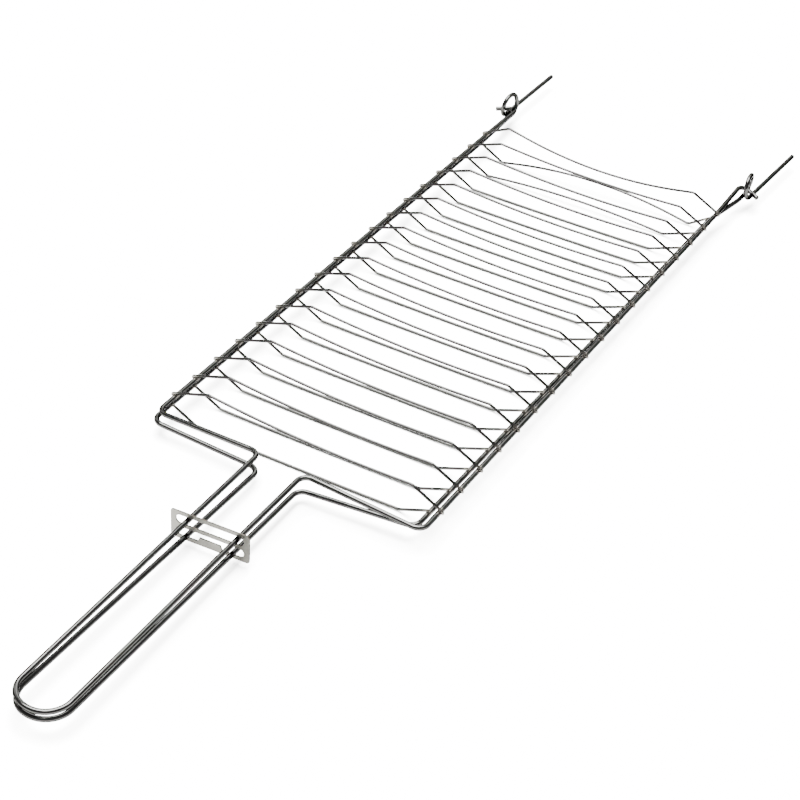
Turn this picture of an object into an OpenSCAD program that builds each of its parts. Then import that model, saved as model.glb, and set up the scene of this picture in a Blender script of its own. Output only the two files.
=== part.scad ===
// Hinged two-leaf wire grate for grilling fish, closed and held shut by a sliding clamp plate.
// X runs across the grate, Y from the handle towards the rest rods, Z up.
// The origin is the middle of the grate's outline on the surface that it lies on.

/* [Wire] */
// Diameter of the wire that each leaf's frame is bent from
frame_d = 3.6; // [3:0.1:4.4]
// Diameter of the cross wires
cross_d = 2; // [1:0.1:2.4]
// How deep a weld sinks a cross wire into its bar
weld_sink = 0.4; // [0.1:0.05:0.5]
// Gap between the upper leaf's bars and the lower leaf's cross wires, which lie right under them
leaf_gap = 0.3; // [0.2:0.05:1]

/* [Leaves] */
// Distance between the centres of the upper leaf's side bars
bar_span = 196.2; // [180:0.2:260]
// How much narrower the lower leaf is on each side
lower_inset = 3.1; // [2:0.1:4]
// How far the lower leaf lies to the left of the upper leaf
lower_offset = 4.7; // [2:0.1:5]
// How far the lower leaf's right bar leans outwards on its way to the hinge
lower_lean = 3.8; // [0:0.1:5]
// Number of cross wires on each leaf
wire_count = 18; // [6:1:22]
// Distance from one cross wire to the next
wire_pitch = 24.3; // [16:0.1:30]
// Distance from the nearest cross wire to the middle of the frame's front corners
front_margin = 19.1; // [12:0.5:30]
// How far the upper leaf's right front corner, and both right roots, lie in front of the left ones
front_skew = 2.6; // [0:0.1:5]
// How far the lower leaf's wires and front corners lie behind the upper leaf's
lower_lead = 1.4; // [-2:0.1:4]
// Bend radius of the frame's front corners
corner_r = 7; // [5:0.5:14]

/* [Cross wires] */
// Length of the raised middle of an upper wire
upper_flat = 150.6; // [110:0.2:156]
// Length of the sunk middle of a lower wire
lower_flat = 146.6; // [110:0.2:156]
// Length of the middle of the last wire on each leaf, by the hinge
end_flat = 157; // [120:0.2:160]
// How far the last upper wire's middle sags, and the last lower wire's middle bows up
end_bow = 9.3; // [2:0.1:10]
// How far the middle of the lower wire next to the last one bows up
next_bow = 4; // [0.5:0.1:8]
// How far the other upper wires' middles sag
upper_bow = 3; // [0.5:0.1:6]
// How far the other lower wires' middles sag
lower_bow = 0.6; // [0.5:0.1:6]
// How far an upper wire's raised middle stands above the upper bars
upper_rise = 12.4; // [6:0.1:16]
// How far a lower wire's sunk middle hangs below the upper bars
lower_drop = 14.6; // [12:0.1:20]
// How far the raised middle of an upper wire lies off centre
upper_shift = 3; // [-3:0.1:3]
// How far the sunk middle of a lower wire lies off centre
lower_shift = -4.6; // [-5:0.1:5]
// How far the right ends of the lower wires, and the lower right corner, lie behind the left ones
lower_skew = 7.4; // [0:0.1:8]
// How far the lower wires' right ends turn back towards the handle outside their knees
end_lag = 4.2; // [0:0.1:6]
// How much more each of the last lower wires, by the hinge, lags behind the upper wire above it
lag_step = 1; // [0:0.1:1.2]
// How far the left end of the nearest upper wire is pushed back
near_skew = 1.8; // [0:0.1:3]
// How far the upper wires' tips reach past the middle of their bars
tip_reach = 2.4; // [1:0.1:4]
// Length of the turned-down tips
tip_drop = 1.5; // [1.2:0.1:3]
// Bend radius of the knees
knee_r = 4; // [2:0.5:6]

/* [Handle] */
// Distance between the centres of a handle's two legs
leg_span = 33.4; // [30:0.2:48]
// How far the handle lies off centre
handle_shift = -2.6; // [-6:0.1:6]
// Distance from the front corners to the handle's far end
handle_len = 244; // [160:1:320]
// How far each handle's root leans towards the handle's end
root_slant = 1; // [0.5:0.5:10]
// Distance between the two handles' centres at their roots
root_split = 13.4; // [9:0.1:20]
// How far the lower handle's right leg is pinched in at its root
root_pinch = 3; // [0:0.1:5]
// How far the middle between the handles lies below the upper bars
handle_drop = 2.5; // [1:0.1:5]
// Distance between the two handles' centres at the far end
end_split = 5.6; // [4.6:0.1:9]
// Bend radius where the shoulders turn into the handle
root_r = 7; // [5:0.5:12]

/* [Hinge] */
// Distance from the last cross wire to the hinge's axis
hinge_margin = 49; // [30:1:80]
// How far the frames close in between the last cross wire and the hinge
hinge_pinch = 1; // [0:0.1:3]
// Diameter of the eyes in the lower frame, through the middle of the wire
eye_d = 17; // [13.6:0.2:24]
// Distance from the upper bar's centre out to the middle of the eye
eye_reach = 6.4; // [6.4:0.1:14]
// Gap between the turns of an eye where its wire passes itself
turn_gap = 1; // [0.2:0.1:1.2]
// Height of the pins above their seat in the eyes
pin_lift = 1.5; // [1.2:0.1:2]
// How far the pins reach past the middle of the eyes
pin_reach = 10; // [6:0.5:14]
// How far the ends of the pins hang down
pin_dip = 1.6; // [0:0.1:2]
// Backward lean of the pins, in degrees
pin_lean = 24; // [0:1:26]
// Bend radius at the foot of each pin
pin_r = 5; // [4:0.5:7]
// Length of the rest rods behind the hinge's axis
rod_len = 77; // [40:1:120]
// How far each rest rod splays outwards
rod_splay = 1.6; // [0.5:0.1:8]
// How far the ends of both rest rods lean to the right
rod_sway = 2.5; // [-4:0.1:4]

/* [Clamp plate] */
// Width of the plate
plate_w = 53.6; // [52:0.2:80]
// Thickness of the plate's sheet
plate_t = 1; // [0.6:0.1:2]
// Corner radius of the plate
plate_r = 2; // [1:0.5:4]
// How far the plate lies to the left of the handle's middle
plate_shift = 1.8; // [0:0.1:3]
// Turn of the plate about the vertical, as it was pushed on, in degrees
plate_turn = 5; // [0:0.5:8]
// Distance from the front corners to the plate
plate_place = 74; // [60:1:120]
// Height of the strip above the upper slot
top_strip = 3; // [2.5:0.1:8]
// Height of the strip below the lower slot
bottom_strip = 3; // [2.5:0.1:8]
// Height of the strip between the slots
middle_strip = 3; // [1.5:0.1:3.4]
// Clearance between a leg and the edges of its slot
slot_gap = 0.3; // [0.2:0.05:0.6]
// Length left over at each end of the slots
slot_end = 3.8; // [2:0.1:6]
// Width of the tab that stands in the lower slot, at its foot
tab_w = 16.6; // [8:0.2:22]
// Height of the tab
tab_h = 3; // [1:0.1:4]

/* [Hidden] */
wire_sides = 24;
bend_sides = 72;
// Bends are drawn a hair thicker than straights, so that each straight ends inside its bend
bend_swell = 0.06;
straight_bite = 0.3;
bar_x = bar_span / 2;
lower_left_x = bar_x - lower_inset + lower_offset;
lower_right_x = bar_x - lower_inset - lower_offset;
weld_height = (frame_d + cross_d) / 2 - weld_sink;
// The upper bars lie at height zero while the pieces are drawn, and on_floor lifts the whole grate
lower_bar_z = -max(bar_drop(lower_flat / 2 - lower_shift), bar_drop(end_flat / 2));
split_z = -handle_drop;
last_wire_y = wire_pitch * (wire_count - 1) / 2;
front_y = -last_wire_y - front_margin;
lower_front_y = front_y + lower_lead;
handle_y = front_y - handle_len;
hinge_y = last_wire_y + hinge_margin;
hinge_x = bar_x - hinge_pinch;
rod_end_y = hinge_y + rod_len;
floor_z = -lower_drop - lower_bow - (cross_d + bend_swell) / 2;
middle_y = (rod_end_y + handle_y - (frame_d + bend_swell) / 2) / 2;
pin_z = lower_bar_z + frame_d + pin_lift;
turn_step = frame_d + bend_swell + turn_gap;
tip_r = cross_d / 2 + 0.15;
tab_lean = 1.2;
lower_tip = 1;
lag_count = 7;
gentle_r = 80;
foot_r = 45;
bow_share = 0.85;

WIRES = [for (i = [1:wire_count]) i];
function wire_y(i) = last_wire_y - wire_pitch * (i - 1);
function two_digits(i) = i < 10 ? str("0", i) : str(i);
function upper_name(i) = str("upper_wire_", two_digits(i));
function lower_name(i) = str("lower_wire_", two_digits(i));

// A cross wire runs straight from its knee to the weld on top of its bar; both are [x, z] points
function wire_slope(knee, bar) =
    tan(atan2(bar[1] - knee[1], bar[0] - knee[0]) + asin(weld_height / norm(bar - knee)));
function wire_tip(knee, bar, reach) =
    [bar[0] + reach, knee[1] + (bar[0] + reach - knee[0]) * wire_slope(knee, bar)];

// How far the lower bars must hang below the upper ones, for a lower wire whose left knee is at x
function bar_drop(x) =
    let (clear = (frame_d + cross_d) / 2 + leaf_gap)
    let (inset = bar_x - x)
    let (slope = atan2(lower_drop, inset) - asin(clear / norm([inset, lower_drop])))
    (clear + weld_height) / cos(slope) - (lower_left_x - bar_x) * tan(slope);

// Where the lower leaf's right bar lies across the grate at height y along it
function right_bar(y) =
    let (corner_y = lower_front_y + lower_skew / 2)
    lower_right_x + lower_lean * (y - corner_y) / (last_wire_y - corner_y);

// Geometry of a bend at point p on the way from a to b
function unit(v) = v / norm(v);
function half_angle(a, p, b) = acos(unit(a - p) * unit(b - p)) / 2;
function bend_length(a, p, b, r) = r / tan(half_angle(a, p, b));
function reversed(values) = [for (i = [len(values) - 1:-1:0]) values[i]];

module straight(a, b, d) {
    run = b - a;
    translate(a)
        rotate([0, acos(run[2] / norm(run)), atan2(run[1], run[0])])
            cylinder(d = d, h = norm(run), $fn = wire_sides);
}

module bend(a, p, b, r, d) {
    half = half_angle(a, p, b);
    centre = p + unit(unit(a - p) + unit(b - p)) * r / sin(half);
    out = unit(p + unit(a - p) * r / tan(half) - centre);
    axle = unit(cross(b - p, a - p));
    on = cross(axle, out);
    multmatrix([[out[0], on[0], axle[0], centre[0]],
                [out[1], on[1], axle[1], centre[1]],
                [out[2], on[2], axle[2], centre[2]],
                [0, 0, 0, 1]])
        rotate_extrude(angle = 180 - 2 * half, $fn = max(bend_sides, 2 * r))
            translate([r, 0])
                circle(d = d + bend_swell, $fn = wire_sides);
}

// A wire through the points, bent at each inner point with the radius given for it; points where
// the wire hardly turns are passed by
module bent_wire(points, radii, d) {
    end = len(points) - 1;
    kept = [for (i = [0:end])
        if (i == 0 || i == end || half_angle(points[i - 1], points[i], points[i + 1]) < 89.85) i];
    p = [for (i = kept) points[i]];
    r = [for (i = kept) radii[i]];
    last = len(kept) - 1;
    taken = [for (i = [0:last])
        i == 0 || i == last ? 0 : bend_length(p[i - 1], p[i], p[i + 1], r[i]) - straight_bite];
    for (i = [0:last - 1]) {
        along = unit(p[i + 1] - p[i]);
        straight(p[i] + along * taken[i], p[i + 1] - along * taken[i + 1], d);
    }
    for (i = [1:last - 1])
        bend(p[i - 1], p[i], p[i + 1], r[i], d);
}

module on_floor() {
    translate([0, -middle_y, -floor_z])
        children();
}

// The handle's right or left leg, from the shoulder to the handle's end; up is 1 or -1
function leg(side, up) =
    let (x = handle_shift + side * leg_span / 2)
    let (pinch = side > up ? root_pinch : 0)
    [
        [x - pinch, front_y - root_slant - side * front_skew / 2, split_z + up * root_split / 2],
        [x, handle_y, split_z + up * end_split / 2]
    ];

// One side of the upper frame, from its pin to the handle's end
function upper_side(side) = concat([
    [side * (hinge_x + eye_reach + pin_reach), hinge_y - pin_reach * tan(pin_lean), pin_z - pin_dip],
    [side * hinge_x, hinge_y + eye_reach * tan(pin_lean), pin_z + pin_dip * eye_reach / pin_reach],
    [side * bar_x, last_wire_y, 0],
    [side * bar_x, front_y - side * front_skew / 2, 0]
], leg(side, 1));

// One side of the lower frame, from its rest rod through the eye to the handle's end
function lower_side(side) =
    let (eye_x = hinge_x + eye_reach)
    let (inner_x = eye_x - turn_step / 2)
    let (outer_x = eye_x + turn_step / 2)
    let (top = lower_bar_z + eye_d)
    let (corner_y = lower_front_y + side * lower_skew / 2)
    let (corner_x = side > 0 ? right_bar(corner_y) : -lower_left_x)
    let (last_x = side > 0 ? right_bar(last_wire_y) : -lower_left_x)
    concat([
        [side * (outer_x + rod_splay) + rod_sway, rod_end_y, lower_bar_z],
        [side * outer_x, hinge_y - eye_d / 2, lower_bar_z],
        [side * (eye_x + turn_step / 6), hinge_y - eye_d / 2, top],
        [side * (eye_x - turn_step / 6), hinge_y + eye_d / 2, top],
        [side * inner_x, hinge_y + eye_d / 2, lower_bar_z],
        [side * inner_x, hinge_y - eye_d / 2, lower_bar_z],
        [last_x, last_wire_y, lower_bar_z],
        [corner_x, corner_y, lower_bar_z]
    ], leg(side, -1));

module upper_frame() {
    radii = [0, pin_r, gentle_r, corner_r, root_r, leg_span / 2 - 0.5];
    color("silver")
        on_floor()
            bent_wire(concat(upper_side(1), reversed(upper_side(-1))), concat(radii, reversed(radii)), frame_d);
}

module lower_frame() {
    eye_r = eye_d / 2 - 0.3;
    radii = [0, eye_r, eye_r, eye_r, eye_r, foot_r, gentle_r, corner_r, root_r, leg_span / 2 - 0.5];
    color("silver")
        on_floor()
            bent_wire(concat(lower_side(1), reversed(lower_side(-1))), concat(radii, reversed(radii)), frame_d);
}

// A wire welded on top of the upper bars, with its tips turned down outside them
module upper_wire(i) {
    last = i == 1;
    flat = last ? end_flat : upper_flat;
    shift = last ? 0 : upper_shift;
    dip = (last ? end_bow : upper_bow) / (1 - bow_share / 2);
    bow_r = bow_share * pow(flat / 2, 2) / dip;
    left = wire_tip([flat / 2 - shift, upper_rise], [bar_x, 0], tip_reach);
    right = wire_tip([flat / 2 + shift, upper_rise], [bar_x, 0], tip_reach);
    profile = [
        [-left[0], left[1] - tip_drop],
        [-left[0], left[1]],
        [shift - flat / 2, upper_rise],
        [shift, upper_rise - dip],
        [shift + flat / 2, upper_rise],
        right,
        [right[0], right[1] - tip_drop]
    ];
    slope = i == wire_count ? near_skew / bar_span : 0;
    color("gainsboro")
        on_floor()
            bent_wire([for (p = profile) [p[0], wire_y(i) + slope * (bar_x - p[0]), p[1]]],
                      [0, tip_r, knee_r, bow_r, knee_r, tip_r, 0], cross_d);
}

// A wire welded on top of the lower bars, a little out of square, that hangs down between them
module lower_wire(i) {
    last = i == 1;
    flat = last ? end_flat : lower_flat;
    shift = last ? 0 : lower_shift;
    dip = (last ? -end_bow : i == 2 ? -next_bow : lower_bow) / (1 - bow_share / 2);
    bow_r = bow_share * pow(flat / 2, 2) / abs(dip);
    slope = lower_skew / (2 * bar_x);
    y = wire_y(i) + lower_lead - lag_step * min(5, max(0, lag_count + 1 - i));
    right_x = right_bar(y + slope * lower_right_x - end_lag);
    left = wire_tip([flat / 2 - shift, -lower_drop], [lower_left_x, lower_bar_z], lower_tip);
    right = wire_tip([flat / 2 + shift, -lower_drop], [right_x, lower_bar_z], lower_tip);
    profile = [
        [-left[0], left[1]],
        [shift - flat / 2, -lower_drop],
        [shift, -lower_drop - dip],
        [shift + flat / 2, -lower_drop],
        right
    ];
    color("gainsboro")
        on_floor()
            bent_wire([for (p = profile) [p[0], y + slope * p[0] - (p == right ? end_lag : 0), p[1]]],
                      [0, knee_r, bow_r, knee_r, 0], cross_d);
}

// The plate stands across the handles, and each handle's legs pass through a slot of its own
module clamp_plate() {
    place = (plate_place - root_slant) / (handle_len - root_slant);
    split = root_split + (end_split - root_split) * place;
    edge = (split + frame_d) / 2 + slot_gap;
    color("lightgray")
        on_floor()
            translate([handle_shift - plate_shift, front_y - plate_place, split_z])
                rotate([90, 0, plate_turn])
                    translate([0, 0, -plate_t / 2])
                        linear_extrude(plate_t) {
                            difference() {
                                rounded([plate_w, 2 * edge + top_strip + bottom_strip], plate_r,
                                        (top_strip - bottom_strip) / 2);
                                slot(edge);
                                mirror([0, 1])
                                    slot(edge);
                            }
                            translate([0, -edge])
                                tab();
                        }
}

// The tab stands on the lower slot's edge, on a foot that runs into the strip below the slot
module tab() {
    polygon([
        [-tab_w / 2, -bottom_strip / 2],
        [tab_w / 2, -bottom_strip / 2],
        [tab_w / 2, 0],
        [tab_w / 2 - tab_lean, tab_h],
        [tab_lean - tab_w / 2, tab_h],
        [-tab_w / 2, 0]
    ]);
}

// A rectangle with round corners, centred on X, with its middle at the given height
module rounded(size, r, height) {
    translate([0, height]) {
        square([size[0] - 2 * r, size[1]], center = true);
        square([size[0], size[1] - 2 * r], center = true);
        for (x = [-1, 1], y = [-1, 1])
            translate([x * (size[0] / 2 - r), y * (size[1] / 2 - r)])
                circle(r, $fn = 32);
    }
}

module slot(top) {
    high = top - middle_strip / 2;
    rounded([plate_w - 2 * slot_end, high], high / 2 - 0.2, top - high / 2);
}

upper_frame();
lower_frame();
clamp_plate();
for (i = WIRES) {
    upper_wire(i);
    lower_wire(i);
}
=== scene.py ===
"""Looks of a hinged two-leaf wire grate for grilling fish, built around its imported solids.

The frames and cross wires are swept along paths by Geometry Nodes, the welds are instanced on them,
and the clamp plate is a filled outline. Sizes are in metres, written as millimetres times MM.
"""

import math

import bpy
from bpy.props import FloatProperty, FloatVectorProperty, IntProperty, PointerProperty
from mathutils import Matrix, Vector


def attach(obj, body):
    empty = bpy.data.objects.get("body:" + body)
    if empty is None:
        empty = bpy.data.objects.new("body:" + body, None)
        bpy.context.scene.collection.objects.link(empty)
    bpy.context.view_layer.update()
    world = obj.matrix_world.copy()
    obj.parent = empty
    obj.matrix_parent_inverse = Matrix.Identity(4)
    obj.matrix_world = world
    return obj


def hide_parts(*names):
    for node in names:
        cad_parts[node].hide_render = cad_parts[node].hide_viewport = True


bl_info = {
    "name": "Fish Grate",
    "version": (1, 0, 0),
    "blender": (4, 5, 0),
    "location": "View3D > Sidebar > Fish Grate",
    "description": "Builds a hinged wire grate with its welds, clamp plate, stage and finishes",
    "category": "Add Mesh",
}

MM = 0.001

# Wide bends in the side bars, where the leaves narrow to the hinge and where they rise to the eyes
GENTLE_R = 80 * MM
FOOT_R = 45 * MM
# A wire's bowed middle is one shallow corner, rounded along this share of its length. That leaves the
# second share of the corner's depth as the bow.
BOW_ROUND = 0.85
BOW_SHARE = 1 - BOW_ROUND / 2
# Lower wires up to this number lag behind, each by one step more than the wire in front of it, and by no
# more than so many steps
LAG_WIRES = 7
LAG_STEPS = 5
# Half rounds are bent this much tighter than their width allows, so a short straight stays between them
HANDLE_SLACK = 0.5 * MM
EYE_SLACK = 0.3 * MM
SLOT_SLACK = 0.2 * MM
# The turned-down tips are bent this much wider than half the wire
TIP_SLACK = 0.15 * MM
# Bends of fewer degrees than this are left straight. A bend gets a ring of points for each so many
# degrees, or for each half of the ring spacing, and no fewer than so many.
SMALLEST_BEND = 0.15
RING_TURN = 7
FEWEST_RINGS = 4
# A rounded end has a ring this far along its rounding
END_RING = 0.3
# Each wire's pattern starts this many metres further along than the one before
PATTERN_SHIFT = 0.37
# Steps in each round corner of the plate and its slots
CORNER_STEPS = 8
# Faces of the plate get the sheet's finish where they point this much across the sheet, or else the edge's
FACING = 0.95
# Width of the camera's sensor in millimetres, and the nearest and farthest that it sees in metres
SENSOR_WIDTH = 36
VIEW_RANGE = (0.01, 50)

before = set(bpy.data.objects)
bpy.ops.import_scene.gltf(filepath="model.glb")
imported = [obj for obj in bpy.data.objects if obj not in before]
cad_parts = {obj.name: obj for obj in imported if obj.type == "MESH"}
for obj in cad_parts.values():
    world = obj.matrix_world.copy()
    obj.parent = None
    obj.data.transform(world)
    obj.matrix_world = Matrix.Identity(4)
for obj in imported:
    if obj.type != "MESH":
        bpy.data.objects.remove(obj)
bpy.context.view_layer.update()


def length(name, mm, description):
    return FloatProperty(name=name, description=description, default=mm * MM, precision=4, unit="LENGTH")


def angle(name, degrees, description):
    return FloatProperty(name=name, description=description, default=math.radians(degrees), subtype="ANGLE")


def share(name, value, description):
    return FloatProperty(name=name, description=description, default=value, min=0, max=1, subtype="FACTOR")


def amount(name, value, description):
    return FloatProperty(name=name, description=description, default=value, min=0)


def metres(name, values, description):
    return FloatVectorProperty(name=name, description=description, default=values, size=len(values),
                               unit="LENGTH")


def count(name, value, description):
    return IntProperty(name=name, description=description, default=value, min=1)


def hex_colour(code):
    """An sRGB hex code as the linear colour that Blender's sockets take."""
    values = [int(code[i:i + 2], 16) / 255 for i in (0, 2, 4)]
    return tuple(v / 12.92 if v <= 0.04045 else ((v + 0.055) / 1.055) ** 2.4 for v in values)


def colour(name, code, description):
    return FloatVectorProperty(name=name, description=description, default=hex_colour(code), size=3,
                               min=0, max=1, subtype="COLOR")


class WireSizes(bpy.types.PropertyGroup):
    frame_d: length("Frame wire", 3.6, "Diameter of the wire that each leaf's frame is bent from")
    cross_d: length("Cross wire", 2, "Diameter of the cross wires")
    weld_sink: length("Weld sink", 0.4, "How deep a weld sinks a cross wire into its bar")
    leaf_gap: length("Leaf gap", 0.3, "Gap between the upper bars and the lower cross wires under them")
    end_round: length("End rounding", 0.35, "How far the cropped ends of the frame wires are rounded over")
    step: length("Ring spacing", 1.6, "Distance between rings of points along a straight wire")
    frame_sides: count("Frame sides", 24, "Points around a frame wire")
    cross_sides: count("Cross sides", 14, "Points around a cross wire")
    waver: length("Waver", 0.04, "How far the wires stray from a true line")
    waver_span: length("Waver span", 70, "Length over which the wires stray to and fro")
    bend_swell: length("Bend swell", 0.06, "How much thicker the solids are in a wire's bends")
    cross_round: length("Cross end rounding", 0.2, "How far the cross wires' ends are rounded over")
    weld_across: length("Weld across", 1.9, "Size of a weld bead across the grate")
    weld_along: length("Weld along", 1.7, "Size of a weld bead along the bar")
    weld_height: length("Weld height", 0.6, "Thickness of a weld bead")
    weld_lumps: length("Weld lumps", 0.2, "How uneven a weld bead's surface is")
    lump_size: length("Lump size", 1.1, "Size of the lumps on a weld bead")
    # The plating near a weld is rougher and paler out to this reach; the paleness is partly a painted
    # highlight
    frost_and_highlight_reach: length("Heat reach", 4.5, "How far from a weld its heat changes the plating")


class LeafSizes(bpy.types.PropertyGroup):
    bar_span: length("Bar span", 196.2, "Distance between the centres of the upper leaf's side bars")
    lower_inset: length("Lower inset", 3.1, "How much narrower the lower leaf is on each side")
    lower_offset: length("Lower offset", 4.7, "How far the lower leaf lies to the left of the upper leaf")
    lower_lean: length("Lower lean", 3.8, "How far the lower right bar leans outwards towards the hinge")
    wire_count: count("Wire count", 18, "Number of cross wires on each leaf")
    wire_pitch: length("Wire pitch", 24.3, "Distance from one cross wire to the next")
    front_margin: length("Front margin", 19.1, "Distance from the nearest cross wire to the front corners")
    front_skew: length("Front skew", 2.6, "How far the right front corner lies in front of the left one")
    lower_lead: length("Lower lead", 1.4, "How far the lower wires and corners lie behind the upper ones")
    corner_r: length("Corner radius", 7, "Bend radius of the frame's front corners")


class CrossWireSizes(bpy.types.PropertyGroup):
    upper_flat: length("Upper middle", 150.6, "Length of the raised middle of an upper wire")
    lower_flat: length("Lower middle", 146.6, "Length of the sunk middle of a lower wire")
    end_flat: length("Last middle", 157, "Length of the middle of the last wire on each leaf")
    end_bow: length("Last bow", 9.3, "How far the last two wires bow towards each other")
    next_bow: length("Next bow", 4, "How far the lower wire next to the last one bows up")
    upper_bow: length("Upper sag", 3, "How far the other upper wires' middles sag")
    lower_bow: length("Lower sag", 0.6, "How far the other lower wires' middles sag")
    upper_rise: length("Upper rise", 12.4, "How far an upper wire's middle stands above the upper bars")
    lower_drop: length("Lower drop", 14.6, "How far a lower wire's middle hangs below the upper bars")
    upper_shift: length("Upper shift", 3, "How far the raised middle of an upper wire lies off centre")
    lower_shift: length("Lower shift", -4.6, "How far the sunk middle of a lower wire lies off centre")
    lower_skew: length("Lower skew", 7.4, "How far the lower wires' right ends lie behind their left ones")
    end_lag: length("End lag", 4.2, "How far the lower wires' right ends turn back outside their knees")
    lag_step: length("Lag step", 1, "How much more each of the last lower wires lags behind")
    near_skew: length("Nearest skew", 1.8, "How far the nearest upper wire's left end is pushed back")
    tip_reach: length("Tip reach", 2.4, "How far the upper wires' tips reach past their bars")
    lower_reach: length("Lower tip reach", 1, "How far the lower wires' tips reach past their bars")
    tip_drop: length("Tip drop", 1.5, "Length of the turned-down tips")
    knee_r: length("Knee radius", 4, "Bend radius of the knees")


class HandleSizes(bpy.types.PropertyGroup):
    leg_span: length("Leg span", 33.4, "Distance between the centres of a handle's two legs")
    handle_shift: length("Handle shift", -2.6, "How far the handle lies off centre")
    handle_len: length("Handle length", 244, "Distance from the front corners to the handle's far end")
    root_slant: length("Root slant", 1, "How far each handle's root leans towards the handle's end")
    root_split: length("Root split", 13.4, "Distance between the two handles' centres at their roots")
    root_pinch: length("Root pinch", 3, "How far the lower handle's right leg is pinched in at its root")
    handle_drop: length("Handle drop", 2.5, "How far the handles' mid height lies below the upper bars")
    end_split: length("End split", 5.6, "Distance between the two handles' centres at the far end")
    root_r: length("Root radius", 7, "Bend radius where the shoulders turn into the handle")


class HingeSizes(bpy.types.PropertyGroup):
    hinge_margin: length("Hinge margin", 49, "Distance from the last cross wire to the hinge's axis")
    hinge_pinch: length("Hinge pinch", 1, "How far the frames close in behind the last cross wire")
    eye_d: length("Eye size", 17, "Diameter of the eyes, through the middle of the wire")
    eye_reach: length("Eye reach", 6.4, "Distance from the upper bar out to the middle of the eye")
    turn_gap: length("Turn gap", 1, "Gap between the turns of an eye")
    pin_lift: length("Pin lift", 1.5, "Height of the pins above their seat in the eyes")
    pin_reach: length("Pin reach", 10, "How far the pins reach past the middle of the eyes")
    pin_dip: length("Pin dip", 1.6, "How far the ends of the pins hang down")
    pin_lean: angle("Pin lean", 24, "Backward lean of the pins")
    pin_r: length("Pin radius", 5, "Bend radius at the foot of each pin")
    rod_len: length("Rod length", 77, "Length of the rest rods behind the hinge's axis")
    rod_splay: length("Rod splay", 1.6, "How far each rest rod splays outwards")
    rod_sway: length("Rod sway", 2.5, "How far the ends of both rest rods lean to the right")


class PlateSizes(bpy.types.PropertyGroup):
    plate_w: length("Width", 53.6, "Width of the plate")
    plate_t: length("Thickness", 1, "Thickness of the plate's sheet")
    plate_r: length("Corner radius", 2, "Corner radius of the plate")
    edge_round: length("Edge rounding", 0.18, "How far the stamped edges are rounded over")
    plate_shift: length("Shift", 1.8, "How far the plate lies to the left of the handle's middle")
    plate_turn: angle("Turn", 5, "Turn of the plate about the vertical, as it was pushed on")
    plate_place: length("Place", 74, "Distance from the front corners to the plate")
    strip: length("Strips", 3, "Height of the strips above, between and below the slots")
    slot_gap: length("Slot gap", 0.3, "Clearance between a leg and the edges of its slot")
    slot_end: length("Slot ends", 3.8, "Length left over at each end of the slots")
    tab_w: length("Tab width", 16.6, "Width of the tab in the lower slot, at its foot")
    tab_h: length("Tab height", 3, "Height of the tab")
    tab_lean: length("Tab lean", 1.2, "How far each side of the tab leans in")


class Finishes(bpy.types.PropertyGroup):
    plating: colour("Plating", "272726", "Colour of the clean plating on the frame wires")
    thin_plating: colour("Thin plating", "262625", "Colour of the clean plating on the cross wires")
    stain: colour("Stain", "191817", "Colour of faint stains and handling marks in the plating")
    # Pale tint near welds and in the beads: partly frosting, partly a painted highlight for their glints
    weld_frost_and_highlight: colour("Weld tint", "6e6b65", "Colour of the frosted plating on and around a weld")
    # The beads' pale colour is partly a painted highlight that stands in for the glints on the welds
    weld_bead_and_highlight: colour("Weld metal", "a8a49c", "Palest colour of a bead of weld metal")
    sheet: colour("Sheet", "403f3b", "Colour of the satin plate")
    sheet_stain: colour("Sheet stain", "292723", "Colour of rubbed and stained places on the plate")
    wire_rough: share("Wire roughness", 0.085, "Roughness of the clean plated wire")
    thin_rough: share("Thin roughness", 0.02, "How much rougher the cross wires are than the frames")
    # Share of the pale tint, part frosting and part painted highlight, mixed in right at a weld
    frost_and_highlight_share: share("Heat tint", 0.6, "How much of the weld tint shows in the plating right at a weld")
    heat_rough: share("Heat roughness", 0.16, "How much rougher the plating is right at a weld")
    sheet_rough: share("Sheet roughness", 0.36, "Roughness of the satin plate")
    edge_sheen: share("Edge sheen", 0.3, "How much of the light from a wire's edges the plating keeps")
    cut_edge: colour("Cut edge", "191715", "Colour of the plate's sheared edges")
    line_depth: length("Line depth", 0.006, "Depth of the fine lines that drawing leaves along a wire")
    line_width: length("Line width", 0.24, "Width of those lines, coarser than the real ones so they show")
    stain_size: length("Stain size", 18, "Size of the faint stains along a wire")
    speck_size: length("Speck size", 1.1, "Size of the dull specks on a wire")
    weld_grain: length("Weld grain", 0.625, "Size of the grain on the weld metal")
    weld_depth: length("Weld depth", 0.04, "Depth of the grain on the weld metal")
    grain_width: length("Grain width", 0.19, "Width of the sheet's grain, drawn coarser so that it shows")
    grain_depth: length("Grain depth", 0.012, "Depth of the sheet's grain")
    patch_size: length("Patch size", 7.7, "Size of the stained and rubbed patches on the sheet")
    shear_size: length("Shear marks", 0.7, "Size of the marks that the shear leaves on the sheet's edges")


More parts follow.
